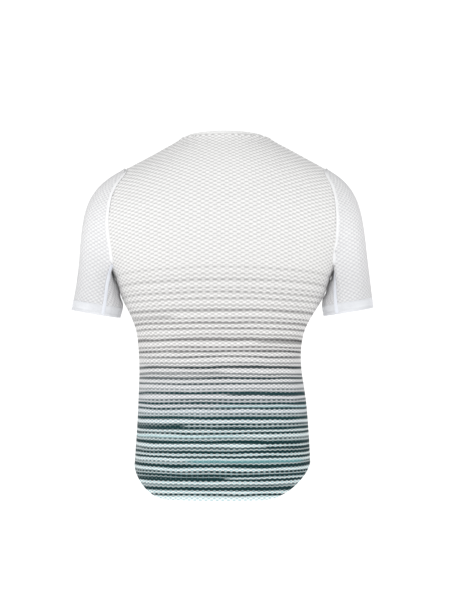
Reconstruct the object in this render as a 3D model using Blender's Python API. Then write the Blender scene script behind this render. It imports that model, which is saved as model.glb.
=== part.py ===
"""Base layer top: a man's short-sleeved mesh undershirt, kept in the hollow form it has when worn.

Metres, +Z up. The wearer faces -Y, so the back of the shirt faces +Y, and +X is the wearer's left.
The origin is between the shoulders at the base of the neck, where the wearer holds the shirt up.

Every piece is a thin wall of cloth on one smooth form of a general figure: a stack of level rounded
sections, which two tables give. A place on the form is a turn and a height. Turn 0 is the centre
back, 1 and -1 are the side and shoulder seams at +X and -X, and 2 or -2 is the centre front.
The sleeves leave the form at the armholes and run along curves to the rings of the cuffs.
"""
import math
from functools import lru_cache
from typing import NamedTuple

import bmesh
import bpy
import numpy as np
from mathutils import Vector

# Cloth
CLOTH = 0.0015           # thickness of the mesh cloth
BAND_CLOTH = 0.0020      # thickness of the neckband and the cuffs
SEAM_GAP = 0.0003        # clear distance between two sewn pieces
CURVED_SEAM_GAP = 0.0005 # start of the neckband, whose facets bow towards the panels

# Grids
COLUMNS = 24             # cells across the back, and across the front
SLEEVE_ROWS = 12
OUTLINE_POINTS = 121     # points that a quarter of a section is measured with
HEIGHT_STEP = 0.0005     # small steps that slopes are measured with
TURN_STEP = 0.004
WELD = 0.00001
SHARP_EDGE = math.radians(50)


class Section(NamedTuple):
    height: float
    half_width: float
    back: float          # from the middle of the form to the centre back
    front: float         # from the middle of the form to the centre front
    squareness: float    # 2 is an ellipse, and more is squarer


TORSO = (
    Section(-0.680, 0.160, 0.121, 0.102, 2.4),
    Section(-0.610, 0.162, 0.123, 0.104, 2.4),
    Section(-0.540, 0.158, 0.115, 0.103, 2.4),
    Section(-0.480, 0.154, 0.101, 0.100, 2.4),
    Section(-0.425, 0.149, 0.093, 0.098, 2.4),
    Section(-0.390, 0.150, 0.093, 0.098, 2.4),
    Section(-0.355, 0.156, 0.098, 0.100, 2.4),
    Section(-0.332, 0.167, 0.103, 0.102, 2.4),
    Section(-0.310, 0.181, 0.107, 0.105, 2.4),
    Section(-0.290, 0.190, 0.111, 0.107, 2.4),
    Section(-0.265, 0.198, 0.115, 0.111, 2.4),
    Section(-0.240, 0.209, 0.118, 0.113, 2.4),
    Section(-0.190, 0.232, 0.120, 0.116, 2.4),
    Section(-0.140, 0.248, 0.116, 0.110, 2.3),
    Section(-0.105, 0.242, 0.108, 0.101, 2.2),
    Section(-0.083, 0.224, 0.102, 0.094, 2.1),
    Section(-0.066, 0.198, 0.097, 0.088, 2.05),
    Section(-0.044, 0.1515, 0.089, 0.077, 2.0),
    Section(-0.022, 0.1125, 0.077, 0.062, 2.0),
    Section(0.000, 0.070, 0.062, 0.048, 2.0),
    Section(0.020, 0.052, 0.052, 0.040, 2.0),
)


class Sway(NamedTuple):
    height: float
    shift: float         # how far the shirt stands towards +X there, in the wearer's easy pose


POSE = (
    Sway(-0.680, 0.002),
    Sway(-0.500, 0.001),
    Sway(-0.390, 0.006),
    Sway(-0.300, 0.001),
    Sway(-0.090, -0.002),
    Sway(-0.050, -0.006),
    Sway(0.020, -0.003),
)


class ArmholePoint(NamedTuple):
    cuff_turn: float     # degrees on the cuff it leads to: 0 outer, 90 back or front, 180 inner
    height: float
    back: float          # from the centre line to the seam behind the arm
    front: float         # the same before the arm, where the seam is cut further in


ARMHOLE = (
    ArmholePoint(0, -0.059, 0.183, 0.183),
    ArmholePoint(14, -0.073, 0.184, 0.181),
    ArmholePoint(32, -0.102, 0.202, 0.195),
    ArmholePoint(52, -0.145, 0.209, 0.199),
    ArmholePoint(66, -0.175, 0.210, 0.200),
    ArmholePoint(78, -0.200, 0.207, 0.199),
    ArmholePoint(89, -0.223, 0.204, 0.199),
    ArmholePoint(102, -0.240, 0.202, 0.200),
    ArmholePoint(140, -0.246, 0.205, 0.204),
    ArmholePoint(180, -0.248, 0.2065, 0.2065),
)
RAIL_TURNS = (0, 6, 14, 26, 39, 52, 65, 78, 90, 104, 129, 155, 180)   # where the curves are drawn

# Neckline and hem
NECK_SIDE = -0.003       # height where the shoulder seam meets the neckband
NECK_CENTRE = {"back": -0.002, "front": -0.068}
NECK_ROUNDNESS = {"back": 1.5, "front": 2.7}
NECKBAND_HEIGHT = 0.0065
HEM_CENTRE = {"back": -0.6595, "front": -0.640}
HEM_SIDE = {1: -0.606, -1: -0.600}   # at +X and at -X, where the hem has ridden up a little
HEM_LEVEL = {1: 0.46, -1: 0.34}      # share of the way to the side seam over which it stays level


class RowZone(NamedTuple):
    rows: int
    back: float          # height of the zone's top at the centre back
    front: float         # height of the zone's top at the centre front


SIDE_ZONE = RowZone(13, -0.262, -0.270)
ARMHOLE_ZONE = RowZone(len(RAIL_TURNS) - 1, -0.070, -0.112)
SHOULDER_ZONE = RowZone(5, NECK_CENTRE["back"], NECK_CENTRE["front"])

# Sleeves and cuffs
ARM_TILT = math.radians(9.5)
OUTWARD = Vector((math.cos(ARM_TILT), 0.0, math.sin(ARM_TILT)))
DOWN_ARM = Vector((math.sin(ARM_TILT), 0.0, -math.cos(ARM_TILT)))
BACKWARD = Vector((0.0, 1.0, 0.0))
CUFF_TOP = Vector((0.2312, 0.0, -0.3065))       # centre of the ring where sleeve and cuff meet
CUFF_SHIFT = {1: DOWN_ARM * 0.0035 - OUTWARD * 0.0025, -1: Vector()}    # how each arm is held
CUFF_HALF_WIDTH = 0.0462
CUFF_HALF_DEPTH = 0.059
CUFF_HEIGHT = 0.0185
SMOOTH_UNTIL = 84        # degrees: above it the sleeve carries on the form's slope at the seam
FOLDED_FROM = 114        # degrees: below it the sleeve folds straight down from the seam
OUTWARD_PULL = 0.7       # how much the curves start across the seam and not along it
START_PULL = (0.40, 0.32)    # length of the curves' handles at the outer and inner side
END_PULL = (0.52, 0.32)

WHITE = (0.86, 0.87, 0.87, 1.0)
COOL_WHITE = (0.82, 0.84, 0.86, 1.0)
CUFF_WHITE = (0.80, 0.84, 0.89, 1.0)
PALE_GREY = (0.74, 0.76, 0.78, 1.0)


def clear_scene():
    for item in list(bpy.data.objects):
        bpy.data.objects.remove(item)


def ease(way):
    way = min(max(way, 0.0), 1.0)
    return way * way * (3 - 2 * way)


def mix(pair, way):
    return pair[0] * (1 - way) + pair[1] * way


def smooth_value(places, values, place):
    """Read a smooth curve through the values at the places, which rise."""
    slopes = np.gradient(values, places)
    cell = int(np.clip(np.searchsorted(places, place) - 1, 0, len(places) - 2))
    width = places[cell + 1] - places[cell]
    t = (place - places[cell]) / width
    start = (1 + 2 * t) * (1 - t) ** 2 * values[cell] + t * (1 - t) ** 2 * width * slopes[cell]
    end = t * t * (3 - 2 * t) * values[cell + 1] - t * t * (1 - t) * width * slopes[cell + 1]
    return float(start + end)


def read_table(table, place):
    """A row of the table at this place of its first column, between its own rows."""
    places, *columns = zip(*table)
    return (place, *(smooth_value(places, column, place) for column in columns))


# The form

@lru_cache(maxsize=None)
def quarter_section(height, behind):
    """The section's outline from its centre line to its side: share of the way, across, deep."""
    section = Section(*read_table(TORSO, height))
    depth = section.back if behind else -section.front
    swing = np.linspace(0.0, math.pi / 2, OUTLINE_POINTS)
    power = 2 / section.squareness
    across = section.half_width * np.sin(swing) ** power
    deep = depth * np.clip(np.cos(swing), 0.0, 1.0) ** power
    way = np.concatenate(([0.0], np.cumsum(np.hypot(np.diff(across), np.diff(deep)))))
    return way / way[-1], across, deep


def on_form(turn, height):
    height = round(height, 7)
    behind = abs(turn) <= 1
    way = abs(turn) if behind else 2 - abs(turn)
    share, across, deep = quarter_section(height, behind)
    sideways = math.copysign(float(np.interp(abs(way), share, across)), turn * way)
    return Vector((sideways, float(np.interp(abs(way), share, deep)), height))


def form_normal(turn, height):
    around = on_form(turn + TURN_STEP, height) - on_form(turn - TURN_STEP, height)
    up = on_form(turn, height + HEIGHT_STEP) - on_form(turn, height - HEIGHT_STEP)
    return up.cross(around).normalized()


def armhole_place(cuff_turn, behind):
    """Turn and height of the point of the +X armhole that leads to this place on the cuff."""
    point = ArmholePoint(*read_table(ARMHOLE, cuff_turn))
    share, across, _ = quarter_section(round(point.height, 7), behind)
    way = float(np.interp(point.back if behind else point.front, across, share))
    if cuff_turn in (0, 180):
        way = 1.0
    return (way if behind else 2 - way), point.height


def neckline_place(turn):
    """The turn, and the height of the neckline there."""
    side = "back" if abs(turn) <= 1 else "front"
    way = abs(turn) if side == "back" else 2 - abs(turn)
    return turn, NECK_CENTRE[side] + (NECK_SIDE - NECK_CENTRE[side]) * neck_rise(way, side)


def neck_rise(way, side):
    """How far the neckline has climbed from its centre, 0, to the shoulder seam, 1."""
    return 1 - max(math.cos(way * math.pi / 2), 0.0) ** NECK_ROUNDNESS[side]


def hem_rise(way, hand):
    """How far the hem has climbed from its centre, 0, to the side seam on this hand, 1."""
    return ease((way - HEM_LEVEL[hand]) / (1 - HEM_LEVEL[hand]))


# The pieces

def pose_shift(height):
    return Sway(*read_table(POSE, height)).shift


def make_material(name, colour, roughness):
    material = bpy.data.materials.new(name)
    material.use_nodes = True
    shader = material.node_tree.nodes["Principled BSDF"]
    shader.inputs["Base Color"].default_value = colour
    shader.inputs["Roughness"].default_value = roughness
    material.diffuse_color = colour
    return material


def cloth_wall(name, columns, rows, outer, inner, material, closed=False):
    """A wall between two sheets of points, each a function of a column and a row of the grid.

    A closed wall joins its last column to its first, so the strips across its ends there go.
    """
    work = bmesh.new()
    bmesh.ops.create_grid(work, x_segments=columns, y_segments=rows, size=0.5)
    extruded = bmesh.ops.extrude_face_region(work, geom=work.faces[:])["geom"]
    outer_points = {item for item in extruded if isinstance(item, bmesh.types.BMVert)}
    if closed:
        strips = [face for face in work.faces if abs(face.calc_center_median().x) > 0.5 - WELD]
        bmesh.ops.delete(work, geom=strips, context="FACES_ONLY")
    for point in work.verts:
        column = round((point.co.x + 0.5) * columns)
        row = round((point.co.y + 0.5) * rows)
        sheet = outer if point in outer_points else inner
        point.co = sheet(column, row)
        point.co.x += pose_shift(point.co.z)
    bmesh.ops.remove_doubles(work, verts=work.verts, dist=WELD)
    bmesh.ops.recalc_face_normals(work, faces=work.faces)
    mesh = bpy.data.meshes.new(name)
    work.to_mesh(mesh)
    work.free()
    mesh.materials.append(material)
    mesh.shade_smooth()
    mesh.set_sharp_from_angle(angle=SHARP_EDGE)
    bpy.context.scene.collection.objects.link(bpy.data.objects.new(name, mesh))


def row_ends(behind, hand):
    """How far round each row ends and its height there: side seam, armhole, shoulder seam."""
    armhole = [armhole_place(cuff_turn, behind) for cuff_turn in reversed(RAIL_TURNS)]
    underarm = armhole[0][1]
    shoulder = armhole[-1][1]
    side = [(1.0, height) for height in np.linspace(HEM_SIDE[hand], underarm, SIDE_ZONE.rows + 1)[:-1]]
    top = [(1.0, height) for height in np.linspace(shoulder, NECK_SIDE, SHOULDER_ZONE.rows + 1)[1:]]
    return side + armhole + top


def row_centres(side):
    """Height of each row at the centre line, from the hem up."""
    heights = [HEM_CENTRE[side]]
    for zone in (SIDE_ZONE, ARMHOLE_ZONE, SHOULDER_ZONE):
        heights += list(np.linspace(heights[-1], getattr(zone, side), zone.rows + 1)[1:])
    return heights


def quarter_length(height, behind):
    _, across, deep = quarter_section(round(height, 7), behind)
    return float(np.hypot(np.diff(across), np.diff(deep)).sum())


def panel_places(side):
    """Turn and height of every grid point of the back or the front, row by row from the hem."""
    behind = side == "back"
    centres = row_centres(side)
    ends = {hand: row_ends(behind, hand) for hand in (1, -1)}
    rows = []
    for number, centre in enumerate(centres):
        blend = number / (len(centres) - 1)
        row = []
        for across in np.linspace(-1.0, 1.0, COLUMNS + 1):
            hand = 1 if across >= 0 else -1
            end_turn, end_height = ends[hand][number]
            reach = end_turn if behind else 2 - end_turn
            if reach == 1.0:
                reach -= SEAM_GAP / 2 / quarter_length(end_height, behind)
            climb = mix((hem_rise(abs(across), hand), neck_rise(abs(across), side)), blend)
            height = centre + (end_height - centre) * climb
            way = reach * across
            turn = way if behind else math.copysign(2 - abs(way), way)
            row.append((turn, height))
        rows.append(row)
    return rows


def make_panel(side, material):
    places = panel_places(side)

    def outer(column, row):
        return on_form(*places[row][column])

    def inner(column, row):
        return outer(column, row) - form_normal(*places[row][column]) * CLOTH

    cloth_wall(side, COLUMNS, len(places) - 1, outer, inner, material)


def make_neckband(material):
    count = 2 * COLUMNS
    places = [neckline_place(4 * column / count - 2) for column in range(count)]

    def outer(column, row):
        before, here, after = (places[(column + step) % count] for step in (-1, 0, 1))
        along = on_form(*after) - on_form(*before)
        up = along.cross(form_normal(*here)).normalized()
        return on_form(*here) + up * (CURVED_SEAM_GAP + NECKBAND_HEIGHT * row)

    def inner(column, row):
        return outer(column, row) - form_normal(*places[column % count]) * BAND_CLOTH

    cloth_wall("neckband", count, 1, outer, inner, material, closed=True)


def rail_places():
    """Cuff degrees of each curve round the sleeve: down behind the arm, then up before it."""
    behind = [(cuff_turn, True) for cuff_turn in RAIL_TURNS]
    before = [(cuff_turn, False) for cuff_turn in reversed(RAIL_TURNS[1:-1])]
    return behind + before


def cuff_point(cuff_turn, behind, drop):
    """A point of the +X cuff, at this distance below its top ring."""
    angle = math.radians(cuff_turn if behind else -cuff_turn)
    outward = OUTWARD * (CUFF_HALF_WIDTH * math.cos(angle))
    backward = BACKWARD * (CUFF_HALF_DEPTH * math.sin(angle))
    return CUFF_TOP + outward + backward + DOWN_ARM * drop


def cuff_normal(cuff_turn, behind):
    angle = math.radians(cuff_turn if behind else -cuff_turn)
    outward = OUTWARD * (math.cos(angle) / CUFF_HALF_WIDTH)
    backward = BACKWARD * (math.sin(angle) / CUFF_HALF_DEPTH)
    return (outward + backward).normalized()


def across_seam(cuff_turn, behind, normal):
    """The direction along the form, square to the armhole and away from the panel."""
    nearby = (max(cuff_turn - 3, 0.5), min(cuff_turn + 3, 179.5))
    start, end = (on_form(*armhole_place(place, behind)) for place in nearby)
    across = normal.cross(end - start).normalized()
    return across if across.x > 0 else -across


def sleeve_rail(cuff_turn, behind, shift):
    """Four control points of the curve down the +X sleeve, to a cuff moved by the shift."""
    turn, height = armhole_place(cuff_turn, behind)
    seam = on_form(turn, height)
    normal = form_normal(turn, height)
    across = across_seam(cuff_turn, behind, normal)
    end = cuff_point(cuff_turn, behind, -SEAM_GAP) + shift
    aim = (end - seam).normalized()
    aim_on_form = (aim - normal * aim.dot(normal)).normalized()
    smooth_start = (aim_on_form + across * OUTWARD_PULL).normalized()
    folded = ease((cuff_turn - SMOOTH_UNTIL) / (FOLDED_FROM - SMOOTH_UNTIL))
    inner = cuff_turn / 180
    start = seam + across.lerp(normal, folded).normalized() * SEAM_GAP * 1.2
    reach = (end - seam).length
    first = start + smooth_start.lerp(aim, folded).normalized() * reach * mix(START_PULL, inner)
    second = end - DOWN_ARM.lerp(aim, inner ** 2) * reach * mix(END_PULL, inner)
    return start, first, second, end


def rail_point(rail, way):
    rest = 1 - way
    weights = (rest ** 3, 3 * rest * rest * way, 3 * rest * way * way, way ** 3)
    return sum((point * weight for point, weight in zip(rail, weights)), Vector())


def mirrored(point, hand):
    return Vector((point.x * hand, point.y, point.z))


def make_sleeve(name, hand, material):
    places = rail_places()
    rails = [sleeve_rail(*place, CUFF_SHIFT[hand]) for place in places]
    count = len(places)

    def left_point(column, row):
        return rail_point(rails[column % count], 1 - row / SLEEVE_ROWS)

    def left_normal(column, row):
        cuff_turn, behind = places[column % count]
        if row == SLEEVE_ROWS and cuff_turn < SMOOTH_UNTIL:
            return form_normal(*armhole_place(cuff_turn, behind))
        if row == 0:
            return cuff_normal(cuff_turn, behind)
        around = left_point(column + 1, row) - left_point(column - 1, row)
        up = left_point(column, min(row + 1, SLEEVE_ROWS)) - left_point(column, row - 1)
        return around.cross(up).normalized()

    def outer(column, row):
        return mirrored(left_point(column, row), hand)

    def inner(column, row):
        return outer(column, row) - mirrored(left_normal(column, row), hand) * CLOTH

    cloth_wall(name, count, SLEEVE_ROWS, outer, inner, material, closed=True)


def make_cuff(name, hand, material):
    places = rail_places()
    count = len(places)

    def outer(column, row):
        point = cuff_point(*places[column % count], CUFF_HEIGHT * (1 - row))
        return mirrored(point + CUFF_SHIFT[hand], hand)

    def inner(column, row):
        return outer(column, row) - mirrored(cuff_normal(*places[column % count]), hand) * BAND_CLOTH

    cloth_wall(name, count, 1, outer, inner, material, closed=True)


def make_shirt():
    mesh_cloth = make_material("mesh_cloth", WHITE, 0.8)
    sleeve_cloth = make_material("sleeve_cloth", COOL_WHITE, 0.8)
    cuff_cloth = make_material("cuff_cloth", CUFF_WHITE, 0.7)
    make_panel("back", mesh_cloth)
    make_panel("front", mesh_cloth)
    make_neckband(make_material("neck_ribbing", PALE_GREY, 0.7))
    for name, hand in (("left", 1), ("right", -1)):
        make_sleeve("sleeve_" + name, hand, sleeve_cloth)
        make_cuff("cuff_" + name, hand, cuff_cloth)


clear_scene()
make_shirt()
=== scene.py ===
import math
from collections import namedtuple

import bmesh
import bpy
import numpy as np
from mathutils import Matrix, Vector
from mathutils.bvhtree import BVHTree


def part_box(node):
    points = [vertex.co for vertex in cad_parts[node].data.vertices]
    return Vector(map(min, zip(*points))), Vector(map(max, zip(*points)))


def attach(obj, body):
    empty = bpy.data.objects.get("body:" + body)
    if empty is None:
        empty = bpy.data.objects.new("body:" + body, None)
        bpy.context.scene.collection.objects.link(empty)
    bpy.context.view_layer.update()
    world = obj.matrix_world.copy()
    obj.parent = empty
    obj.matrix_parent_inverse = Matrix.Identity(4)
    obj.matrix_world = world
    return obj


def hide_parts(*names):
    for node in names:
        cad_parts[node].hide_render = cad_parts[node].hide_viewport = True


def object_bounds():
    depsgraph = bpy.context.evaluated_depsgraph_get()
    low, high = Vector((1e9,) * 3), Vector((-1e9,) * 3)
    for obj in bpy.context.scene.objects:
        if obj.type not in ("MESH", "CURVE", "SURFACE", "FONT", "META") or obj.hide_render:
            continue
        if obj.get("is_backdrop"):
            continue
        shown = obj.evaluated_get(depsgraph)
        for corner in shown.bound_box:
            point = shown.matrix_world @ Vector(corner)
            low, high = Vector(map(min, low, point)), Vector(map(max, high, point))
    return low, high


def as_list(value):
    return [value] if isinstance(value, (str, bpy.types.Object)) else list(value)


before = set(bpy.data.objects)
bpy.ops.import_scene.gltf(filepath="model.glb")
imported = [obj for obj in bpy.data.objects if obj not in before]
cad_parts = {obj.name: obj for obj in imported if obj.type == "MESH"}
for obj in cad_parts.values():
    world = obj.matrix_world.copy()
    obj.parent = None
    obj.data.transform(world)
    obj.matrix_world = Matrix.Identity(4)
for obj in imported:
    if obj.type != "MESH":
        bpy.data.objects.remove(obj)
cad_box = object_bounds()

# ---------------------------------------------------------------- back
# The back is one panel of open honeycomb knit in white polyester, cut with its wales upright
# from the neckband to the dropped tail. Dark teal yarns are knitted in along the courses,
# close together at the tail and thinning out to faint grey towards the chest.

CLOTH_THICKNESS = 0.0015
FELT_FROM = 0.4            # how far from its axis a piece is felt for
FORM_STEP = 2.5            # degrees of turn between the readings of a form
FORM_TURNS = np.arange(0, 360, FORM_STEP)

Axis = namedtuple("Axis", "origin out beside up lean")
Form = namedtuple("Form", "axis heights radius normals")
Knit = namedtuple("Knit", "wale_widths course_heights sag")
Outline = namedtuple("Outline", "low high top tail start stop")
Crease = namedtuple("Crease", "turn height to_turn to_height width rise")

body_axis = Axis(*(Vector(way) for way in ((0, 0, 0), (1, 0, 0), (0, 1, 0), (0, 0, 1))), ((0, 0),))


def felt_surface(*nodes):
    """The solids' faces, ready to be felt from outside."""
    shell = bmesh.new()
    for node in nodes:
        shell.from_mesh(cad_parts[node].data)
    bmesh.ops.remove_doubles(shell, verts=shell.verts, dist=0.00001)
    tree = BVHTree.FromBMesh(shell)
    shell.free()
    return tree


def between(table, place):
    """Reads a table of (place, value) rows."""
    rows = np.array(sorted(table))
    return np.interp(place, rows[:, 0], rows[:, 1])


def way_out(axis, turn):
    """The level way out from an axis at a turn."""
    return axis.out * math.cos(math.radians(turn)) + axis.beside * math.sin(math.radians(turn))


def felt_radius(tree, axis, turn, height):
    """How far from the axis the outer face is, or not a number where there is none."""
    outward = way_out(axis, turn)
    middle = axis.origin + axis.up * height + axis.out * float(between(axis.lean, height))
    distance = tree.ray_cast(middle + outward * FELT_FROM, -outward, FELT_FROM)[3]
    return math.nan if distance is None else FELT_FROM - distance


def softened(values, closed, times):
    """Evens out rows of values. A closed set's last row is its first again."""
    for _ in range(times):
        padded = np.concatenate((values[-2:-1], values, values[1:2])) if closed else np.pad(
            values, ((1, 1), (0, 0)), "edge")
        values = (padded[:-2] + 2 * padded[1:-1] + padded[2:]) / 4
    return values


def carry_on(radius):
    """Carries a form past its edges by its own slope, then fills the rest from around."""
    for _ in range(5):
        guesses = [np.roll(radius, way, 1) * 1.8 - np.roll(radius, 2 * way, 1) * 0.8 for way in (1, -1)]
        known = [~np.isnan(guess) for guess in guesses]
        total = sum(np.where(k, g, 0) for k, g in zip(known, guesses))
        count = known[0].astype(int) + known[1]
        radius = np.where(np.isnan(radius) & (count > 0), total / np.maximum(count, 1), radius)
    missing = np.isnan(radius)
    rows = np.arange(len(radius))
    for column in radius.T:
        gap = np.isnan(column)
        if not gap.all():
            column[gap] = np.interp(rows[gap], rows[~gap], column[~gap])
    radius[np.isnan(radius)] = np.nanmean(radius)
    for _ in range(200):
        padded = np.pad(radius, ((1, 1), (0, 0)), "edge")
        around = (padded[2:] + padded[:-2] + np.roll(radius, 1, 1) + np.roll(radius, -1, 1)) / 4
        radius = np.where(missing, around, radius)
    return radius


def read_form(tree, axis, heights, softening):
    """The worn form of a piece: its distance from an axis, by turn and height."""
    radius = carry_on(np.array([[felt_radius(tree, axis, turn, height) for turn in FORM_TURNS]
                                for height in heights]))
    for _ in range(softening):
        radius = (np.roll(radius, 1, 1) + 2 * radius + np.roll(radius, -1, 1)) / 4
        radius = softened(radius, False, 1)
    return shaped(axis, heights, radius)


def shaped(axis, heights, radius):
    """A form with the directions in which its surface faces."""
    angle = np.radians(FORM_TURNS)
    round_slope = (np.roll(radius, -1, 1) - np.roll(radius, 1, 1)) / (2 * math.radians(FORM_STEP))
    up_slope = np.gradient(radius, heights, axis=0)
    lean_slope = np.gradient(between(axis.lean, heights), heights)[:, None]
    facing = radius * np.cos(angle) + round_slope * np.sin(angle)
    normals = np.stack((facing, radius * np.sin(angle) - round_slope * np.cos(angle),
                        -up_slope * radius - lean_slope * facing), -1)
    return Form(axis, heights, radius, normals / np.linalg.norm(normals, axis=-1, keepdims=True))


def creased(form, creases):
    """The form with soft creases, each deepest at its start: ridges outwards, troughs inwards."""
    turns, heights = np.meshgrid(FORM_TURNS, form.heights)
    radius, degree = form.radius.copy(), np.radians(form.radius)
    for crease in creases:
        run_turn = (crease.to_turn - crease.turn) * degree
        run_up = crease.to_height - crease.height
        across = ((turns - crease.turn + 180) % 360 - 180) * degree
        up = heights - crease.height
        along = np.clip((across * run_turn + up * run_up) / (run_turn ** 2 + run_up ** 2), 0, 1)
        away = np.hypot(across - along * run_turn, up - along * run_up)
        radius += crease.rise * np.exp(-(away / crease.width) ** 2) * (1 - along ** 2 * (3 - 2 * along))
    return shaped(form.axis, form.heights, radius)


def read_grid(grid, row, column, endless=False):
    """Reads between the rows and columns of a grid of values."""
    row = np.clip(row, 0, len(grid) - 1.001)
    if not endless:
        column = np.clip(column, 0, grid.shape[1] - 1.001)
    i, j = np.floor(row).astype(int), np.floor(column).astype(int)
    u, v = row - i, column - j
    j, k = j % grid.shape[1], (j + 1) % grid.shape[1]
    if grid.ndim == 3:
        u, v = u[..., None], v[..., None]
    return ((grid[i, j] * (1 - v) + grid[i, k] * v) * (1 - u)
            + (grid[i + 1, j] * (1 - v) + grid[i + 1, k] * v) * u)


def on_form(form, turn, height, lift):
    """Points on a worn form, moved outwards by lift."""
    turn, height = np.asarray(turn, float), np.asarray(height, float)
    row = (height - form.heights[0]) / (form.heights[1] - form.heights[0])
    radius, normal = (read_grid(grid, row, turn / FORM_STEP, True)
                      for grid in (form.radius, form.normals))
    angle = np.radians(turn)
    local = np.stack((radius * np.cos(angle) + between(form.axis.lean, height), radius * np.sin(angle),
                      height), -1)
    local = local + normal * np.broadcast_to(lift, turn.shape)[..., None]
    axis = form.axis
    return np.array(axis.origin) + local @ np.array((axis.out, axis.beside, axis.up))


# A course sags towards the sides, as the square of the way round. One is the sag at 0.19 m.
SAG_SHAPE = [(arc, (arc / 0.19) ** 2) for arc in np.linspace(-0.26, 0.26, 11)]
CLOTH_STEP = 2.0           # degrees of turn between the readings of a cloth's width
LEVEL_STEP = 0.001         # of height between the readings of its courses


class Cloth:
    """Knit laid on a form. Wales are counted across from a middle line, courses down from top."""

    def __init__(self, form, middle, knit, top, reach):
        self.form, self.middle, self.knit = form, middle, knit
        self.turns = np.arange(middle - reach, middle + reach + 0.1, CLOTH_STEP)
        turn, height = np.meshgrid(self.turns, form.heights)
        points = on_form(form, turn, height, 0)
        steps = np.linalg.norm(np.diff(points, axis=1), axis=2)
        arcs = np.concatenate((np.zeros((len(steps), 1)), np.cumsum(steps, 1)), 1)
        self.arcs = arcs - arcs[:, len(self.turns) // 2][:, None]
        self.arc_steps = np.linspace(self.arcs.min(), self.arcs.max(), 400)
        self.turn_table = np.array([np.interp(self.arc_steps, arc, self.turns) for arc in self.arcs])
        self.levels = np.arange(form.heights[-1] + 0.03, form.heights[0] - 0.05, -LEVEL_STEP)
        courses = np.cumsum(LEVEL_STEP / between(knit.course_heights, self.levels))
        self.courses = courses - np.interp(-top, -self.levels, courses)

    def row(self, height):
        return (height - self.form.heights[0]) / (self.form.heights[1] - self.form.heights[0])

    def hang(self, height, arc):
        """How far a course hangs below its height at the middle, this far round from there."""
        return between(self.knit.sag, height) * between(SAG_SHAPE, arc)

    def where(self, wale, course):
        """The turn and the height at which places in the flat knit are worn."""
        level = np.interp(course, self.courses, self.levels)
        height = level
        for _ in range(4):
            arc = wale * between(self.knit.wale_widths, height)
            height = level - self.hang(level, arc)
        column = (arc - self.arc_steps[0]) / (self.arc_steps[1] - self.arc_steps[0])
        return read_grid(self.turn_table, self.row(height), column), height

    def flat(self, turn, height):
        """The wales and the courses that pass through places on the form."""
        turn, height = np.asarray(turn, float), np.asarray(height, float)
        arc = read_grid(self.arcs, self.row(height), (turn - self.turns[0]) / CLOTH_STEP)
        level = height
        for _ in range(8):
            level = height + self.hang(level, arc)
        wale = arc / between(self.knit.wale_widths, height)
        return wale, np.interp(-level, -self.levels, self.courses)


def first_met(is_there, start, stop, step):
    """The first place between start and stop where the solid is met, or None."""
    way = math.copysign(step, stop - start)
    place = start
    while not is_there(place):
        place += way
        if (place - stop) * way > 0:
            return None
    if place == start:
        return start
    outside = place - way
    for _ in range(10):
        middle = (place + outside) / 2
        place, outside = (middle, outside) if is_there(middle) else (place, middle)
    return place


def panel_outline(cloth, tree, heights, turns, top, tail):
    """A panel's cut, felt on its solid: its sides by height, and its ends by turn.

    Top and tail say where the feeling starts and stops, and whether the solid is met or left.
    """
    axis, sides, ends = cloth.form.axis, [], []
    for start in turns:
        felt = [(first_met(lambda t: not math.isnan(felt_radius(tree, axis, t, h)), start, cloth.middle,
                           1.5), h) for h in heights]
        sides.append(np.array([pair for pair in felt if pair[0] is not None]))
    for start, stop, met in (top, tail):
        felt = [(t, first_met(lambda h: math.isnan(felt_radius(tree, axis, t, h)) != met, start, stop,
                              0.003)) for t in np.linspace(turns[0] + 1.8, turns[1] - 1.8, 60)]
        ends.append(np.array([pair for pair in felt if pair[1] is not None]))
    flat = np.concatenate([np.array(cloth.flat(edge[:, 0], edge[:, 1])).T for edge in sides + ends])
    return Outline(*sides, *ends, np.floor(flat.min(0)) - 1, np.ceil(flat.max(0)) + 1)


RIDGE = 0.1                # height of the cells' rims in the flat net, before it is laid
HOLE = (0.78, 0.36)        # share of a cell's width and height that its hole takes


def honeycomb(wales, courses):
    """A flat net of cells, each with a sunken lens-shaped hole, closed by finer knit behind.

    Holes of a course are a unit apart. The holes between them stand half a unit across and down.
    """
    net = bmesh.new()
    for side in (1, -1):
        cell = bmesh.ops.create_circle(net, cap_ends=True, segments=6, radius=1 / 3,
                                       matrix=Matrix.Rotation(math.pi / 2, 4, "Z"))["verts"]
        bmesh.ops.scale(net, verts=cell, vec=(1, math.sqrt(3), 1))
        for v in cell:
            v.co.z = side * RIDGE
    outer = [f for f in net.faces if f.calc_center_median().z > 0]
    rim = set(net.verts)
    bmesh.ops.inset_individual(net, faces=outer, thickness=0.03)
    for v in net.verts:
        if v not in rim:
            at_tip = abs(v.co.y) < 0.1
            v.co = (math.copysign(HOLE[0] / 3 if at_tip else HOLE[0] / 5.5, v.co.x),
                    0 if at_tip else math.copysign(HOLE[1] / 2, v.co.y), -0.4 * RIDGE)
    for f in net.faces:
        f.normal_update()
    inward = [f for f in net.faces if f.normal.z * (f.calc_center_median().z + 0.7 * RIDGE) < 0]
    bmesh.ops.reverse_faces(net, faces=inward)
    for vector, count in (((0, 1, 0), courses), ((0.5, 0.5, 0), 1), ((1, 0, 0), wales)):
        bmesh.ops.spin(net, geom=net.verts[:] + net.edges[:] + net.faces[:], axis=(0, 0, 1),
                       cent=(0, 0, 0), dvec=vector, angle=0, steps=count, use_duplicate=True)
    return net


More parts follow.
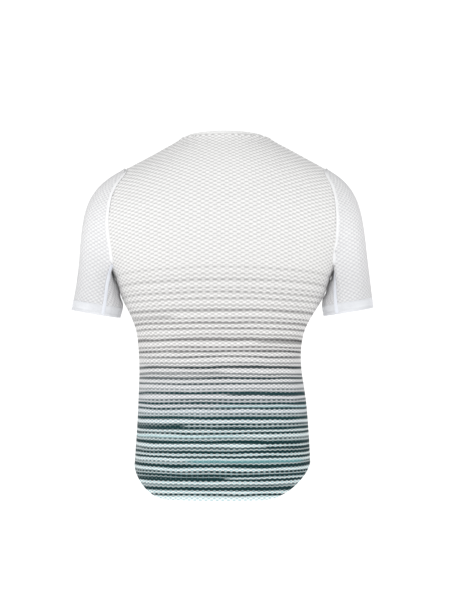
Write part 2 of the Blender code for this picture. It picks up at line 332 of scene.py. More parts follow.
def trim(net, cloth, outline):
    """Cuts the net to its outline: cells outside go, and those on it are drawn in to the edge."""
    flat = np.array([v.co[:] for v in net.verts])
    turn, height = cloth.where(flat[:, 0], flat[:, 1])
    kept_turn, kept_height = turn, height
    for _ in range(2):
        low, high = (np.interp(kept_height, edge[:, 1], edge[:, 0])
                     for edge in (outline.low, outline.high))
        kept_turn = np.minimum(np.maximum(kept_turn, low), high)
        top, tail = (np.interp(kept_turn, edge[:, 0], edge[:, 1])
                     for edge in (outline.top, outline.tail))
        kept_height = np.minimum(np.maximum(kept_height, tail), top)
    outside = (kept_turn != turn) | (kept_height != height)
    wales, courses = cloth.flat(kept_turn, kept_height)
    net.verts.index_update()
    for v in net.verts:
        v.tag = bool(outside[v.index])
        if v.tag:
            v.co = (wales[v.index], courses[v.index], 0)
    # A whole cell goes or stays, with its back, so the two sides stay closed against each other.
    outer = []
    for f in net.faces:
        if len(f.verts) == 6:
            cell = {f}.union(*(e.link_faces for e in f.edges))
            rim = {v for g in cell for v in g.verts} - (set(f.verts) if len(cell) > 1 else set())
            if all(v.tag for v in rim):
                outer += cell
    bmesh.ops.delete(net, geom=outer, context="FACES")
    bmesh.ops.remove_doubles(net, verts=net.verts, dist=0.0005)
    for _ in range(2):
        gaps = [e for e in net.edges if e.is_boundary]
        closing = bmesh.ops.holes_fill(net, edges=gaps, sides=0)["faces"]
        bmesh.ops.reverse_faces(net, faces=[
            f for f in closing if f.loops[0].link_loop_radial_next.vert == f.loops[0].vert])


def new_piece(name, shape, material):
    mesh = bpy.data.meshes.new(name)
    shape.to_mesh(mesh)
    shape.free()
    mesh.materials.append(material)
    mesh.shade_smooth()
    piece = bpy.data.objects.new(name, mesh)
    bpy.context.scene.collection.objects.link(piece)
    return piece


MAP_UNIT = 10              # wales or courses to a unit of a knit piece's own map


def knit_panel(name, cloth, outline, material):
    """Cuts a panel of honeycomb to its outline and lays it on its form."""
    wales, courses = outline.stop - outline.start
    net = honeycomb(int(wales), int(courses))
    bmesh.ops.translate(net, verts=net.verts, vec=(*outline.start, 0))
    trim(net, cloth, outline)
    axis = cloth.form.axis
    if axis.out.cross(axis.beside).dot(axis.up) > 0:
        bmesh.ops.reverse_faces(net, faces=net.faces)
    piece = new_piece(name, net, material)
    mesh = piece.data
    flat = np.empty(len(mesh.vertices) * 3, np.float32)
    mesh.vertices.foreach_get("co", flat)
    flat = flat.reshape(-1, 3).astype(float)
    lift = flat[:, 2] / RIDGE * CLOTH_THICKNESS / 2 - CLOTH_THICKNESS / 2
    worn = on_form(cloth.form, *cloth.where(flat[:, 0], flat[:, 1]), lift)
    mesh.vertices.foreach_set("co", worn.astype(np.float32).ravel())
    corners = np.empty(len(mesh.loops), np.int32)
    mesh.loops.foreach_get("vertex_index", corners)
    places = (flat[corners, :2] / MAP_UNIT).astype(np.float32)
    mesh.uv_layers.new(name="knit").data.foreach_set("uv", places.ravel())
    mesh.update()
    return piece


# Widths of a wale, heights of a course and its sag, by height. The cloth is stretched widest over
# the shoulder blades and least at the waist.
BODY_KNIT = Knit(
    wale_widths=((-0.66, 0.0100), (-0.60, 0.0100), (-0.54, 0.0102), (-0.465, 0.0098), (-0.43, 0.0102),
                 (-0.395, 0.0108), (-0.357, 0.0116), (-0.32, 0.0125), (-0.285, 0.0136), (-0.25, 0.0142),
                 (-0.10, 0.0143), (-0.065, 0.0135), (-0.03, 0.0125), (0.02, 0.0120)),
    course_heights=((-0.66, 0.0062), (-0.48, 0.0062), (-0.42, 0.0066), (-0.36, 0.0070), (-0.28, 0.0074),
                    (-0.12, 0.0074), (-0.08, 0.0067), (-0.04, 0.0058), (0.02, 0.0052)),
    sag=((-0.66, 0.003), (-0.45, 0.004), (-0.33, 0.006), (-0.24, 0.012), (-0.13, 0.019),
         (-0.065, 0.025), (0.02, 0.034)))

# Pulls run from the armpits and shallow troughs cross the waist and follow the spine.
BODY_CREASES = (
    Crease(176, -0.262, 138, -0.230, 0.008, -0.0016), Crease(172, -0.285, 130, -0.268, 0.009, 0.0010),
    Crease(4, -0.262, 44, -0.238, 0.009, -0.0014), Crease(89, -0.430, 86, -0.345, 0.016, -0.0026),
    Crease(89, -0.430, 92, -0.515, 0.018, -0.0026), Crease(28, -0.412, 78, -0.436, 0.013, -0.0020),
    Crease(24, -0.440, 62, -0.458, 0.011, 0.0014), Crease(152, -0.400, 106, -0.424, 0.012, -0.0016),
    Crease(158, -0.448, 122, -0.470, 0.012, -0.0014), Crease(60, -0.560, 84, -0.590, 0.014, -0.0012),
    Crease(-4, -0.260, -44, -0.222, 0.009, -0.0020), Crease(-8, -0.290, -50, -0.268, 0.010, 0.0012),
    Crease(184, -0.262, 226, -0.218, 0.009, -0.0018), Crease(-30, -0.418, -82, -0.440, 0.013, -0.0022),
    Crease(-34, -0.452, -66, -0.462, 0.011, 0.0014), Crease(212, -0.398, 258, -0.428, 0.013, -0.0020),
    Crease(206, -0.440, 240, -0.466, 0.012, -0.0014), Crease(-96, -0.470, -82, -0.520, 0.016, -0.0014))

FIRST_COURSE = -0.005      # height of the first course at the middle of each panel
SIDE_HEIGHTS = np.arange(-0.603, -0.003, 0.003)
body_form = read_form(felt_surface("back", "front"), body_axis, np.arange(-0.664, 0.012, 0.005), 4)
body_form = creased(body_form, BODY_CREASES)
back_cloth = Cloth(body_form, 90, BODY_KNIT, FIRST_COURSE, 180)
back_outline = panel_outline(back_cloth, felt_surface("back"), SIDE_HEIGHTS, (-1.5, 181.5),
                             top=(0.015, -0.1, True), tail=(-0.67, -0.58, True))


class Finish:
    """The nodes of a finish, with short ways to add and join them."""

    def __init__(self, tree):
        self.tree, self.surface = tree, tree.nodes.get("Principled BSDF")

    def join(self, given, socket):
        """Joins another node's socket to this one, or gives it a value of its own."""
        if isinstance(given, bpy.types.NodeSocket):
            self.tree.links.new(given, socket)
        else:
            socket.default_value = given

    def add(self, kind, inputs=(), **settings):
        node = self.tree.nodes.new("ShaderNode" + kind)
        for setting, value in settings.items():
            setattr(node, setting, value)
        for socket, given in dict(inputs).items():
            self.join(given, node.inputs[socket])
        return node

    def group(self, tree, inputs):
        return self.add("Group", inputs, node_tree=tree).outputs

    def apart(self, place):
        """The three numbers of a vector."""
        return self.add("SeparateXYZ", {0: place}).outputs

    def maths(self, operation, *values):
        return self.add("Math", enumerate(values), operation=operation).outputs[0]

    def wave(self, operation, value):
        """A sine or a cosine that comes round with each unit."""
        return self.maths(operation, self.maths("MULTIPLY", value, 2 * math.pi))

    def noise(self, place, scale, detail):
        return self.add("TexNoise", {"Vector": place, "Scale": scale, "Detail": detail}).outputs[0]

    def stretched_noise(self, place, stretch):
        place = self.add("VectorMath", {0: place, 1: stretch}, operation="MULTIPLY").outputs[0]
        return self.noise(place, 1.0, 2.0)

    def eased(self, value, low, high, start=0.0, end=1.0, smooth=True):
        sockets = ("Value", "From Min", "From Max", "To Min", "To Max")
        return self.add("MapRange", zip(sockets, (value, low, high, start, end)),
                        interpolation_type="SMOOTHSTEP" if smooth else "LINEAR").outputs[0]

    def ramp(self, stops, value):
        """Numbers or colours by place, read between the stops."""
        node = self.add("ValToRGB", {0: value})
        elements = node.color_ramp.elements
        elements.remove(elements[1])
        for order, (position, colour) in enumerate(stops):
            element = elements[0] if order == 0 else elements.new(position)
            element.position = position
            element.color = (*colour, 1) if hasattr(colour, "__len__") else (colour, colour, colour, 1)
        return node.outputs[0]

    def mixed(self, mode, factor, first, second):
        if not isinstance(second, bpy.types.NodeSocket):
            second = (*second, 1)
        return self.add("Mix", zip(("Factor", "A", "B"), (factor, first, second)), data_type="RGBA",
                        blend_type=mode).outputs["Result"]


def new_finish(name, roughness, sheen=0.15):
    material = bpy.data.materials.new(name)
    material.use_nodes = True
    finish = Finish(material.node_tree)
    for socket, value in (("Roughness", roughness), ("Sheen Weight", sheen), ("Sheen Roughness", 0.4),
                          ("Specular IOR Level", 0.25)):
        finish.surface.inputs[socket].default_value = value
    return material, finish


def new_group(name, inputs, outputs):
    """A group of nodes that finishes share, with what it is given and where its results go."""
    tree = bpy.data.node_groups.new(name, "ShaderNodeTree")
    for way, sockets in (("INPUT", inputs), ("OUTPUT", outputs)):
        for socket in sockets:
            kind = "Vector" if socket == "Place" else "Float"
            tree.interface.new_socket(name=socket, in_out=way, socket_type="NodeSocket" + kind)
    given, results = (tree.nodes.new("NodeGroup" + kind) for kind in ("Input", "Output"))
    return Finish(tree), given.outputs, results.inputs


def yarn_group():
    """Fine loops of yarn: a height for the bump and a slight unevenness of the dye."""
    finish, given, results = new_group("yarn_loops", ("Place", "Loops Across", "Loops Down"),
                                       ("Height", "Unevenness"))
    maths, place = finish.maths, finish.apart(given["Place"])
    across = maths("MULTIPLY", place[0], given["Loops Across"])
    down = maths("MULTIPLY", place[1], given["Loops Down"])
    slanted = maths("ADD", down, maths("MULTIPLY", maths("PINGPONG", across, 0.5), 1.4))
    height = maths("MULTIPLY", maths("ADD", finish.wave("SINE", slanted), 1.2),
                   maths("ABSOLUTE", finish.wave("SINE", across)))
    finish.join(height, results["Height"])
    finish.join(finish.noise(given["Place"], 1.7, 3.0), results["Unevenness"])
    return finish.tree


yarn_loops = yarn_group()
YARN_RELIEF = 0.0003
KNIT_LOOPS = (14, 12)      # fine loops of yarn across a wale and down a course


def add_yarn(finish, place, loops, bump=0.25):
    """Puts the loops' bump on a finish and gives back the unevenness."""
    yarn = finish.group(yarn_loops, {"Place": place, "Loops Across": loops[0], "Loops Down": loops[1]})
    relief = finish.add("Bump", {"Strength": bump, "Distance": YARN_RELIEF, "Height": yarn["Height"]})
    finish.join(relief.outputs[0], finish.surface.inputs["Normal"])
    return yarn["Unevenness"]


def knit_place(finish):
    """Wales and courses as a vector, read from the piece's own map."""
    source = finish.add("UVMap", uv_map="knit").outputs[0]
    return finish.add("VectorMath", {0: source, "Scale": MAP_UNIT}, operation="SCALE").outputs[0]


# The stripes are a plain fade: one beat of uneven steps in courses, half widths and depths
# repeats down the cloth, while the stripes deepen, widen and crowd together towards the tail.
Stripe = namedtuple("Stripe", "step half dark")
STRIPE_BEAT = (Stripe(1.6, 0.46, 0.80), Stripe(1.2, 0.40, 0.55), Stripe(1.9, 0.62, 1.00),
               Stripe(1.1, 0.40, 0.70), Stripe(1.5, 0.52, 0.90))
FIRST_STRIPE, LAST_STRIPE = 35.0, 97.5
DEEPEN = ((35, 0.25), (48, 0.65), (60, 1.00), (98, 1.10))
WIDEN = ((35, 0.95), (60, 1.00), (78, 1.30), (98, 1.35))
CROWD = ((35, 1.05), (60, 1.00), (98, 0.88))


def stripe_rows():
    """The course, half width and depth of each stripe."""
    rows, at = [], FIRST_STRIPE
    while at < LAST_STRIPE:
        beat = STRIPE_BEAT[len(rows) % len(STRIPE_BEAT)]
        deepen, widen, crowd = (float(between(table, at)) for table in (DEEPEN, WIDEN, CROWD))
        rows.append((at, beat.half * widen, min(beat.dark * deepen, 1.0)))
        at += beat.step * crowd
    return rows


STRIPES = stripe_rows()
# A few stripes run part of the way across: the wales at their ends, their course, half their
# width in courses, and how dark they are. Some are in pale aqua and in mid teal yarn.
PART_STRIPES = ((-27, -6, 47.0, 0.6, 0.40), (4, 27, 53.5, 0.6, 0.50), (-27, 2, 62.0, 0.5, 0.70),
                (-2, 27, 68.0, 0.5, 0.80), (-27, -5, 77.0, 0.6, 0.85), (6, 27, 83.0, 0.6, 0.85),
                (-27, 3, 92.0, 0.8, 0.90))
PALE_AQUA = ((-27, 5, 80.0, 0.60, 0.75), (-3, 27, 71.5, 0.60, 0.75))
MID_TEAL = ((-8, 18, 87.0, 0.60, 0.85),)
AQUA_DYE, TEAL_DYE = (0.56, 0.78, 0.81), (0.13, 0.34, 0.36)
# How the dye bleeds into the white, with painted shade greying it around course 36; the painted shade
# on the slanting yarns between the holes, grey above and giving way to teal dye towards the tail; and
# the dye of the stripes, by course in hundreds: neutral above, then cool greys, then teal.
DYE_BLEED_AND_SHADE = ((0.20, (1, 1, 1)), (0.36, (0.94, 0.938, 0.936)), (0.58, (0.98, 0.978, 0.976)),
         (0.72, (0.97, 0.97, 0.99)), (0.80, (0.99, 1.02, 1.02)), (1.00, (0.99, 1.02, 1.02)))
SLANT_SHADE_AND_DYE = ((0.30, (0.85, 0.85, 0.85)), (0.55, (0.80, 0.79, 0.79)), (0.70, (0.72, 0.75, 0.78)),
          (0.78, (0.58, 0.76, 0.80)), (0.90, (0.56, 0.79, 0.84)), (1.00, (0.62, 0.84, 0.88)))
INK = ((0.30, (0.060, 0.055, 0.055)), (0.55, (0.050, 0.050, 0.050)), (0.62, (0.024, 0.046, 0.050)),
       (0.68, (0.008, 0.044, 0.050)), (0.742, (0.002, 0.040, 0.045)), (0.80, (0.0, 0.030, 0.034)),
       (1.00, (0.0, 0.028, 0.033)))
STRIPED_WHITE = ((0.3, (0.93, 0.925, 0.92)), (0.7, (0.97, 0.965, 0.96)))
HOLE_SHADE = (0.78, 0.78, 0.78)
RAMP_ROWS = 7              # stripes to a ramp, which has room for 32 stops
SCALLOP, DRIFT = 0.13, 0.8     # how far the yarns bend round the holes and wander, in courses
PANEL_WALES = 40           # a little more than there are across a panel


def hole_group():
    """Where the holes of the honeycomb are: one in a hole, nothing on the yarns round it."""
    finish, given, results = new_group("knit_holes", ("Place",), ("Hole",))
    maths, place = finish.maths, finish.apart(given["Place"])
    nearest = [maths("PINGPONG", place[i], 0.5) for i in (0, 1)]
    shifted = [maths("SUBTRACT", 0.5, value) for value in nearest]
    reach = []
    for across, down in (nearest, shifted):
        across = maths("POWER", maths("DIVIDE", across, HOLE[0] / 3 + 0.02), 1.5)
        down = maths("POWER", maths("DIVIDE", down, HOLE[1] / 2 + 0.03), 1.5)
        reach.append(maths("ADD", across, down))
    finish.join(finish.eased(maths("MINIMUM", *reach), 1.25, 0.45), results["Hole"])
    return finish.tree


knit_holes = hole_group()


def sunken(finish, place, colour, shade):
    """Darkens the cloth's colour in its holes, where less light reaches the finer knit."""
    return finish.mixed("MULTIPLY", finish.group(knit_holes, {"Place": place})["Hole"], colour, shade)


def crest_of(finish, place):
    """How full the yarns stand: one midway between the holes of a course, nothing in a hole."""
    place = finish.apart(place)
    waves = finish.maths("MULTIPLY", *(finish.wave("COSINE", place[i]) for i in (0, 1)))
    return finish.maths("MULTIPLY_ADD", waves, -0.5, 0.5)


def stroke_group():
    """Where a yarn shows that runs only part of the way across: one on it, nothing beside it."""
    finish, given, results = new_group("part_stripe", ("Place", "Start", "End", "Course", "Half Width"),
                                       ("Mask",))
    maths, eased, place = finish.maths, finish.eased, finish.apart(given["Place"])
    off = maths("ABSOLUTE", maths("SUBTRACT", place[1], given["Course"]))
    beside = eased(maths("DIVIDE", off, given["Half Width"]), 1.0, 0.25)
    along = eased(place[0], given["Start"], given["End"], 0.0, 1.0, False)
    inside = eased(maths("PINGPONG", along, 0.5), 0.0, 0.14)
    finish.join(maths("MULTIPLY", beside, inside), results["Mask"])
    return finish.tree


part_stripe = stroke_group()


def strokes(finish, place, rows):
    """The darkest of several part stripes at each place."""
    mask = 0.0
    for start, end, course, half, dark in rows:
        stroke = finish.group(part_stripe, {"Place": place, "Start": start, "End": end,
                                            "Course": course, "Half Width": half})["Mask"]
        mask = finish.maths("MAXIMUM", mask, finish.maths("MULTIPLY", stroke, dark))
    return mask


def stripe_mask(finish, yarn):
    """How dark the stripes that run right across are at each course of yarn."""
    mask = 0.0
    for first in range(0, len(STRIPES), RAMP_ROWS):
        rows = STRIPES[first:first + RAMP_ROWS]
        start, end = rows[0][0] - 1, rows[-1][0] + 1
        stops = [(start, 0.0)]
        for number, (at, half, dark) in enumerate(rows):
            gap = at - half - stops[-1][0]
            # Stripes that overlap have one stop between them, as dark as they overlap far.
            if number and gap < 0:
                _, half_before, dark_before = rows[number - 1]
                share = -gap / (2 * min(half, half_before))
                stops[-1] = (stops[-1][0] + gap / 2, min(dark, dark_before) * min(share * 1.2, 1))
            else:
                stops.append((at - half, 0.0))
            stops += [(at - half * 0.25, dark), (at + half * 0.25, dark), (at + half, 0.0)]
        stops = sorted(((at - start) / (end - start), dark) for at, dark in stops)
        inside = finish.maths("DIVIDE", finish.maths("SUBTRACT", yarn, start), end - start)
        mask = finish.maths("MAXIMUM", mask, finish.ramp(stops, inside))
    return mask


def striped_knit():
    material, finish = new_finish("striped_knit", 0.85)
    maths, eased, ramp, mixed = finish.maths, finish.eased, finish.ramp, finish.mixed
    place = knit_place(finish)
    unevenness = add_yarn(finish, place, KNIT_LOOPS)
    wale, course = finish.apart(place)[:2]
    # Yarns bend round the holes, so a stripe's edges are scalloped.
    round_hole = maths("MULTIPLY", finish.wave("SINE", course), finish.wave("COSINE", wale))
    yarn = maths("SUBTRACT", course, maths("MULTIPLY", round_hole, SCALLOP))
    drift = maths("SUBTRACT", finish.stretched_noise(place, (0.10, 0.30, 1)), 0.5)
    yarn = maths("ADD", yarn, maths("MULTIPLY", drift, DRIFT))
    woven = finish.add("CombineXYZ", {0: wale, 1: yarn}).outputs[0]
    mask = maths("MAXIMUM", stripe_mask(finish, yarn), strokes(finish, woven, PART_STRIPES))
    streak = finish.stretched_noise(place, (0.09, 1.3, 1))
    mask = maths("MULTIPLY", mask, maths("ADD", maths("MULTIPLY", streak, 0.8), 0.6))
    sideways = maths("ADD", maths("DIVIDE", wale, PANEL_WALES), 0.5)
    mask = maths("MULTIPLY", mask, ramp(((0.2, 0.90), (0.8, 1.08)), sideways))
    # Near the hem, and where the stripes begin, the full yarns between the holes take the dye last.
    crest = crest_of(finish, place)
    full_take, hole_take = (eased(course, 62, 78, *takes) for takes in ((1.07, 1.15), (0.98, 1.43)))
    full_take = maths("MULTIPLY", full_take, eased(course, 34, 50, 0.45, 1.0))
    take = eased(crest, 0.0, 1.0, hole_take, full_take, False)
    mask = maths("MINIMUM", maths("MULTIPLY", mask, take), 1)
    along = maths("DIVIDE", course, 100)
    # The white, greyed by painted shade around course 36 and tinted by the dye's bleed towards the
    # tail.
    white = mixed("MULTIPLY", 1.0, ramp(STRIPED_WHITE, unevenness), ramp(DYE_BLEED_AND_SHADE, along))
    # Painted shade: the slanting yarns between the holes, away from the crests, are greyed; towards the
    # tail they take teal dye instead.
    full, thin = (eased(course, 72, 78, *crests) for crests in ((0.88, 0.74), (0.40, 0.24)))
    white = mixed("MULTIPLY", eased(crest, full, thin), white, ramp(SLANT_SHADE_AND_DYE, along))
    white = sunken(finish, place, white, HOLE_SHADE)
    white = mixed("MIX", strokes(finish, woven, PALE_AQUA), white, AQUA_DYE)
    cloth = mixed("MIX", mask, white, ramp(INK, along))
    cloth = mixed("MIX", strokes(finish, woven, MID_TEAL), cloth, TEAL_DYE)
    finish.join(cloth, finish.surface.inputs["Base Color"])
    return material


mesh_knit = striped_knit()
back = knit_panel("back_mesh", back_cloth, back_outline, mesh_knit)
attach(back, "root")
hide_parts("back")

# ---------------------------------------------------------------- front
# The front is cut from the same knit as the back, with a deeper neck and a shorter hem. Its
# courses meet those of the back at the side seams.

front_cloth = Cloth(body_form, -90, BODY_KNIT, FIRST_COURSE, 180)
front_outline = panel_outline(front_cloth, felt_surface("front"), SIDE_HEIGHTS, (-181.5, 1.5),
                              top=(0.015, -0.12, True), tail=(-0.67, -0.58, True))
front = knit_panel("front_mesh", front_cloth, front_outline, mesh_knit)
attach(front, "root")
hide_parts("front")

# ---------------------------------------------------------------- sleeves
# The short sleeves are cut from plain white honeycomb knit. Each is closed by a seam under the
# arm, which has turned to the back on the wearer, and sewn into its armhole.

ARM_TILT = math.radians(9.5)
CUFF_HEIGHT = 0.0185
ARM_LEAN = ((0.04, 0), (0.10, -0.008), (0.16, -0.026), (0.26, -0.058))   # inwards, by height
UNDERARM = {"left": 107, "right": 117}     # turn round the arm at which each sleeve is closed


def arm_axis(cuff, side):
    low, high = (Vector(corner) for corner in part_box(cuff))
    up = Vector((-side * math.sin(ARM_TILT), 0, math.cos(ARM_TILT)))
    out = Vector((side * math.cos(ARM_TILT), 0, math.sin(ARM_TILT)))
    return Axis((low + high) / 2 + up * CUFF_HEIGHT / 2, out, Vector((0, 1, 0)), up, ARM_LEAN)


SLEEVE_KNIT = Knit(
    wale_widths=((-0.02, 0.0100), (0.0, 0.0101), (0.06, 0.0106), (0.12, 0.0108), (0.26, 0.0100)),
    course_heights=((-0.02, 0.0072), (0.10, 0.0072), (0.14, 0.0066), (0.26, 0.0060)),
    sag=((-0.02, 0), (0.26, 0)))


def plain_knit():
    material, finish = new_finish("plain_knit", 0.85)
    place = knit_place(finish)
    unevenness = add_yarn(finish, place, KNIT_LOOPS)
    white = finish.ramp(((0.3, (0.92, 0.92, 0.925)), (0.7, (0.96, 0.96, 0.965))), unevenness)
    # Painted shade: the slanting yarns between the holes, away from the crests, are greyed.
    thin = finish.eased(crest_of(finish, place), 0.95, 0.45)
    white = finish.mixed("MULTIPLY", thin, white, (0.87, 0.87, 0.875))
    # Lower down the knit is more open, and painted shade darkens it there.
    lower_shade = finish.eased(finish.apart(place)[1], 16, 34)
    white = finish.mixed("MULTIPLY", lower_shade, white, (0.90, 0.90, 0.905))
    white = sunken(finish, place, white, (0.86, 0.86, 0.87))
    finish.join(white, finish.surface.inputs["Base Color"])
    return material


# A pull runs outwards from each armpit, before and behind the arm, and the cloth is full inside it.
ARM_CREASES = {
    "left": (
        Crease(180, 0.042, 180, 0.050, 0.022, 0.0046), Crease(180, 0.012, 180, 0.016, 0.016, 0.0030),
        Crease(98, 0.113, 40, 0.116, 0.0065, -0.0024), Crease(98, 0.100, 48, 0.104, 0.006, 0.0017),
        Crease(108, 0.060, 76, 0.048, 0.007, -0.0022), Crease(-88, 0.118, -44, 0.126, 0.007, -0.0018),
        Crease(-92, 0.102, -50, 0.112, 0.006, 0.0013), Crease(-96, 0.060, -62, 0.044, 0.008, -0.0013)),
    "right": (
        Crease(180, 0.042, 180, 0.046, 0.022, 0.0044), Crease(180, 0.016, 180, 0.020, 0.018, 0.0040),
        Crease(96, 0.094, 44, 0.113, 0.0055, 0.0036), Crease(98, 0.108, 44, 0.129, 0.0065, -0.0032),
        Crease(98, 0.080, 60, 0.090, 0.006, -0.0024), Crease(-90, 0.110, -40, 0.118, 0.007, -0.0018),
        Crease(-90, 0.096, -56, 0.100, 0.006, 0.0012), Crease(-100, 0.052, -70, 0.038, 0.008, -0.0012))}

sleeve_knit = plain_knit()
ARM_HEIGHTS = np.arange(-0.018, 0.262, 0.004)
arms = {}
for name, side in (("left", 1), ("right", -1)):
    axis = arm_axis("cuff_" + name, side)
    arm_tree = felt_surface("sleeve_" + name, "cuff_" + name)
    form = creased(read_form(arm_tree, axis, ARM_HEIGHTS, 3), ARM_CREASES[name])
    cloth = Cloth(form, 0, SLEEVE_KNIT, 0.25, 262)
    outline = panel_outline(cloth, felt_surface("sleeve_" + name), np.arange(0.0003, 0.252, 0.003),
                            (UNDERARM[name] - 360, UNDERARM[name]),
                            top=(0.03, 0.27, False), tail=(-0.01, 0.05, True))
    sleeve = knit_panel("sleeve_%s_mesh" % name, cloth, outline, sleeve_knit)
    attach(sleeve, "root")
    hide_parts("sleeve_" + name)
    arms[name] = (side, form, outline, sleeve)

# ---------------------------------------------------------------- cuffs
# Each sleeve ends in a band of cool white closed knit. It is turned in, and stitched down along a
# line that shows as a groove.


def band(name, low, high, outward, section, material, closed, flat=None):
    """A strip between two edges. Its section is (share of the way up, distance out) pairs.

    Flat is the wales and courses at the two edges, where the strip is cut from the striped knit.
    Elsewhere the strip's own map has its length, in tenths of a metre, and the way round its section.
    """
    strip = bmesh.new()
    bmesh.ops.create_grid(strip, x_segments=len(low) - 1, y_segments=len(section), size=0.5)
    lengths = np.concatenate(([0], np.cumsum(np.linalg.norm(np.diff(low, axis=0), axis=1))))
    uv = strip.loops.layers.uv.new("knit" if flat else "strip")
    places = {}
    for v in strip.verts:
        i, j = round((v.co.x + 0.5) * (len(low) - 1)), round((v.co.y + 0.5) * len(section))
        share, out = section[j % len(section)]
        if not closed and i in (0, len(low) - 1):
            share, out = 0.5, 0
        places[v] = (lengths[i] * 10, j / len(section))
        if flat:
            places[v] = (flat[0][i] * (1 - share) + flat[1][i] * share) / MAP_UNIT
        v.co = Vector(low[i] * (1 - share) + high[i] * share + outward[i] * out)
    for f in strip.faces:
        for loop in f.loops:
            loop[uv].uv = places[loop.vert]
    bmesh.ops.remove_doubles(strip, verts=strip.verts, dist=0.00002)
    bmesh.ops.recalc_face_normals(strip, faces=strip.faces)
    return new_piece(name, strip, material)


def closed_knit(name, light, dark, loops):
    """Close plain knit with fine upright ribs, read from a strip's own map."""
    material, finish = new_finish(name, 0.8)
    unevenness = add_yarn(finish, finish.add("UVMap", uv_map="strip").outputs[0], loops, 0.35)
    colour = finish.ramp(((0.35, dark), (0.65, light)), unevenness)
    finish.join(colour, finish.surface.inputs["Base Color"])
    return material


cuff_knit = closed_knit("cuff_knit", (0.83, 0.845, 0.875), (0.73, 0.742, 0.775), (90, 30))
ROUND = np.arange(0, 361, 4.0)
CUFF_OVERLAP = 0.0012      # how far the cuff laps over the sleeve
# From the inner lower edge up the outside and down again inside.
CUFF_SECTION = ((0.0, -0.0010), (0.0, -0.0002), (0.04, 0.0002), (0.15, 0.0003), (0.24, 0.0002),
                (0.28, -0.0002), (0.32, 0.0002), (0.55, 0.0003), (0.85, 0.0003), (0.93, 0.0003),
                (1.0, -0.0006), (1.0, -0.0014), (0.5, -0.0015), (0.06, -0.0015))
for name, (side, form, outline, sleeve) in arms.items():
    low, high, middle = (on_form(form, ROUND, np.full(len(ROUND), height), 0)
                         for height in (-CUFF_HEIGHT, CUFF_OVERLAP, -CUFF_HEIGHT / 2))
    out = on_form(form, ROUND, np.full(len(ROUND), -CUFF_HEIGHT / 2), 1) - middle
    cuff = band("cuff_%s_band" % name, low, high, out, CUFF_SECTION, cuff_knit, True)
    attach(cuff, "root")
    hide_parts("cuff_" + name)
    arms[name] += (cuff,)

# ---------------------------------------------------------------- neckband
# A narrow band of fine off-white rib goes round the neck. It is folded over the edges of the back
# and the front, and sewn down.

NECK_LOW, NECK_HIGH = -0.08, 0.06      # heights between which the band is felt for


def felt_rings(tree, axis, turns, low, high):
    """The lower and upper edges of a band, felt from outside, and the way out between them."""
    edges = []
    for start, stop in ((low, high), (high, low)):
        rows = []
        for turn in turns:
            height = first_met(lambda h: not math.isnan(felt_radius(tree, axis, turn, h)), start, stop,
                               0.002)
            radius = felt_radius(tree, axis, turn, height)
            rows.append(axis.origin + axis.up * height + way_out(axis, turn) * radius)
        edges.append(np.array(rows))
    along = np.roll(edges[0][:-1], -1, 0) - np.roll(edges[0][:-1], 1, 0)
    along = np.concatenate((along, along[:1]))
    outward = np.cross(along, edges[1] - edges[0])
    return *edges, outward / np.linalg.norm(outward, axis=1, keepdims=True)


neck_rings = felt_rings(felt_surface("neckband"), body_axis, ROUND, NECK_LOW, NECK_HIGH)
neck_rib = closed_knit("neck_rib", (0.92, 0.92, 0.91), (0.87, 0.87, 0.865), (80, 12))
NECK_SECTION = ((-0.04, -0.0006), (-0.04, 0.0003), (0.12, 0.0009), (0.35, 0.0011), (0.65, 0.0011),
                (0.92, 0.0009), (1.05, 0.0001), (1.05, -0.0012), (0.85, -0.0017), (0.4, -0.0018),
                (0.1, -0.0016))
neckband = band("neckband_rib", *neck_rings, NECK_SECTION, neck_rib, True)
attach(neckband, "root")
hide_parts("neckband")

# ---------------------------------------------------------------- seams
# The panels are joined edge to edge by flat seams: a narrow band of close white stitches over
# the edges, which stands a little proud. One goes round each armhole, over each shoulder, down
# each side and along under each arm.

ARMPIT, SHOULDER_END, NECK_END = -0.247, -0.0595, -0.0045      # heights at which the seams meet
ARMHOLE_WIDTH, UNDERARM_WIDTH, SIDE_WIDTH, SHOULDER_WIDTH = 0.0072, 0.0075, 0.0045, 0.005
SEAM_SECTION = ((0.0, -0.0003), (0.06, 0.0002), (0.2, 0.0005), (0.4, 0.0006), (0.6, 0.0006),
                (0.8, 0.0005), (0.94, 0.0002), (1.0, -0.0003), (0.7, -0.0008), (0.3, -0.0008))
seam_thread = closed_knit("seam_thread", (0.96, 0.962, 0.97), (0.90, 0.905, 0.92), (45, 10))
cool_thread = closed_knit("cool_thread", (0.85, 0.875, 0.93), (0.80, 0.825, 0.89), (45, 10))


def on_edge(form, edge):
    """A line on a form, with the way out of the cloth at each point."""
    line = on_form(form, edge[:, 0], edge[:, 1], 0)
    return line, on_form(form, edge[:, 0], edge[:, 1], 1) - line


def seam(name, line, outward, width, material, closed=False, flat=None):
    """A flat seam along a line. A closed line's last point is its first again."""
    outward = outward / np.linalg.norm(outward, axis=1, keepdims=True)
    if closed:
        along = np.roll(line[:-1], -1, 0) - np.roll(line[:-1], 1, 0)
        along = np.concatenate((along, along[:1]))
    else:
        along = np.gradient(line, axis=0)
    across = np.cross(outward, along)
    across *= width / 2 / np.linalg.norm(across, axis=1, keepdims=True)
    piece = band(name, line - across, line + across, outward, SEAM_SECTION, material, closed, flat)
    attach(piece, "root")
    return piece


def upright(turn, heights):
    """Places on a form straight above each other."""
    return np.stack((np.full(len(heights), turn), heights), -1)


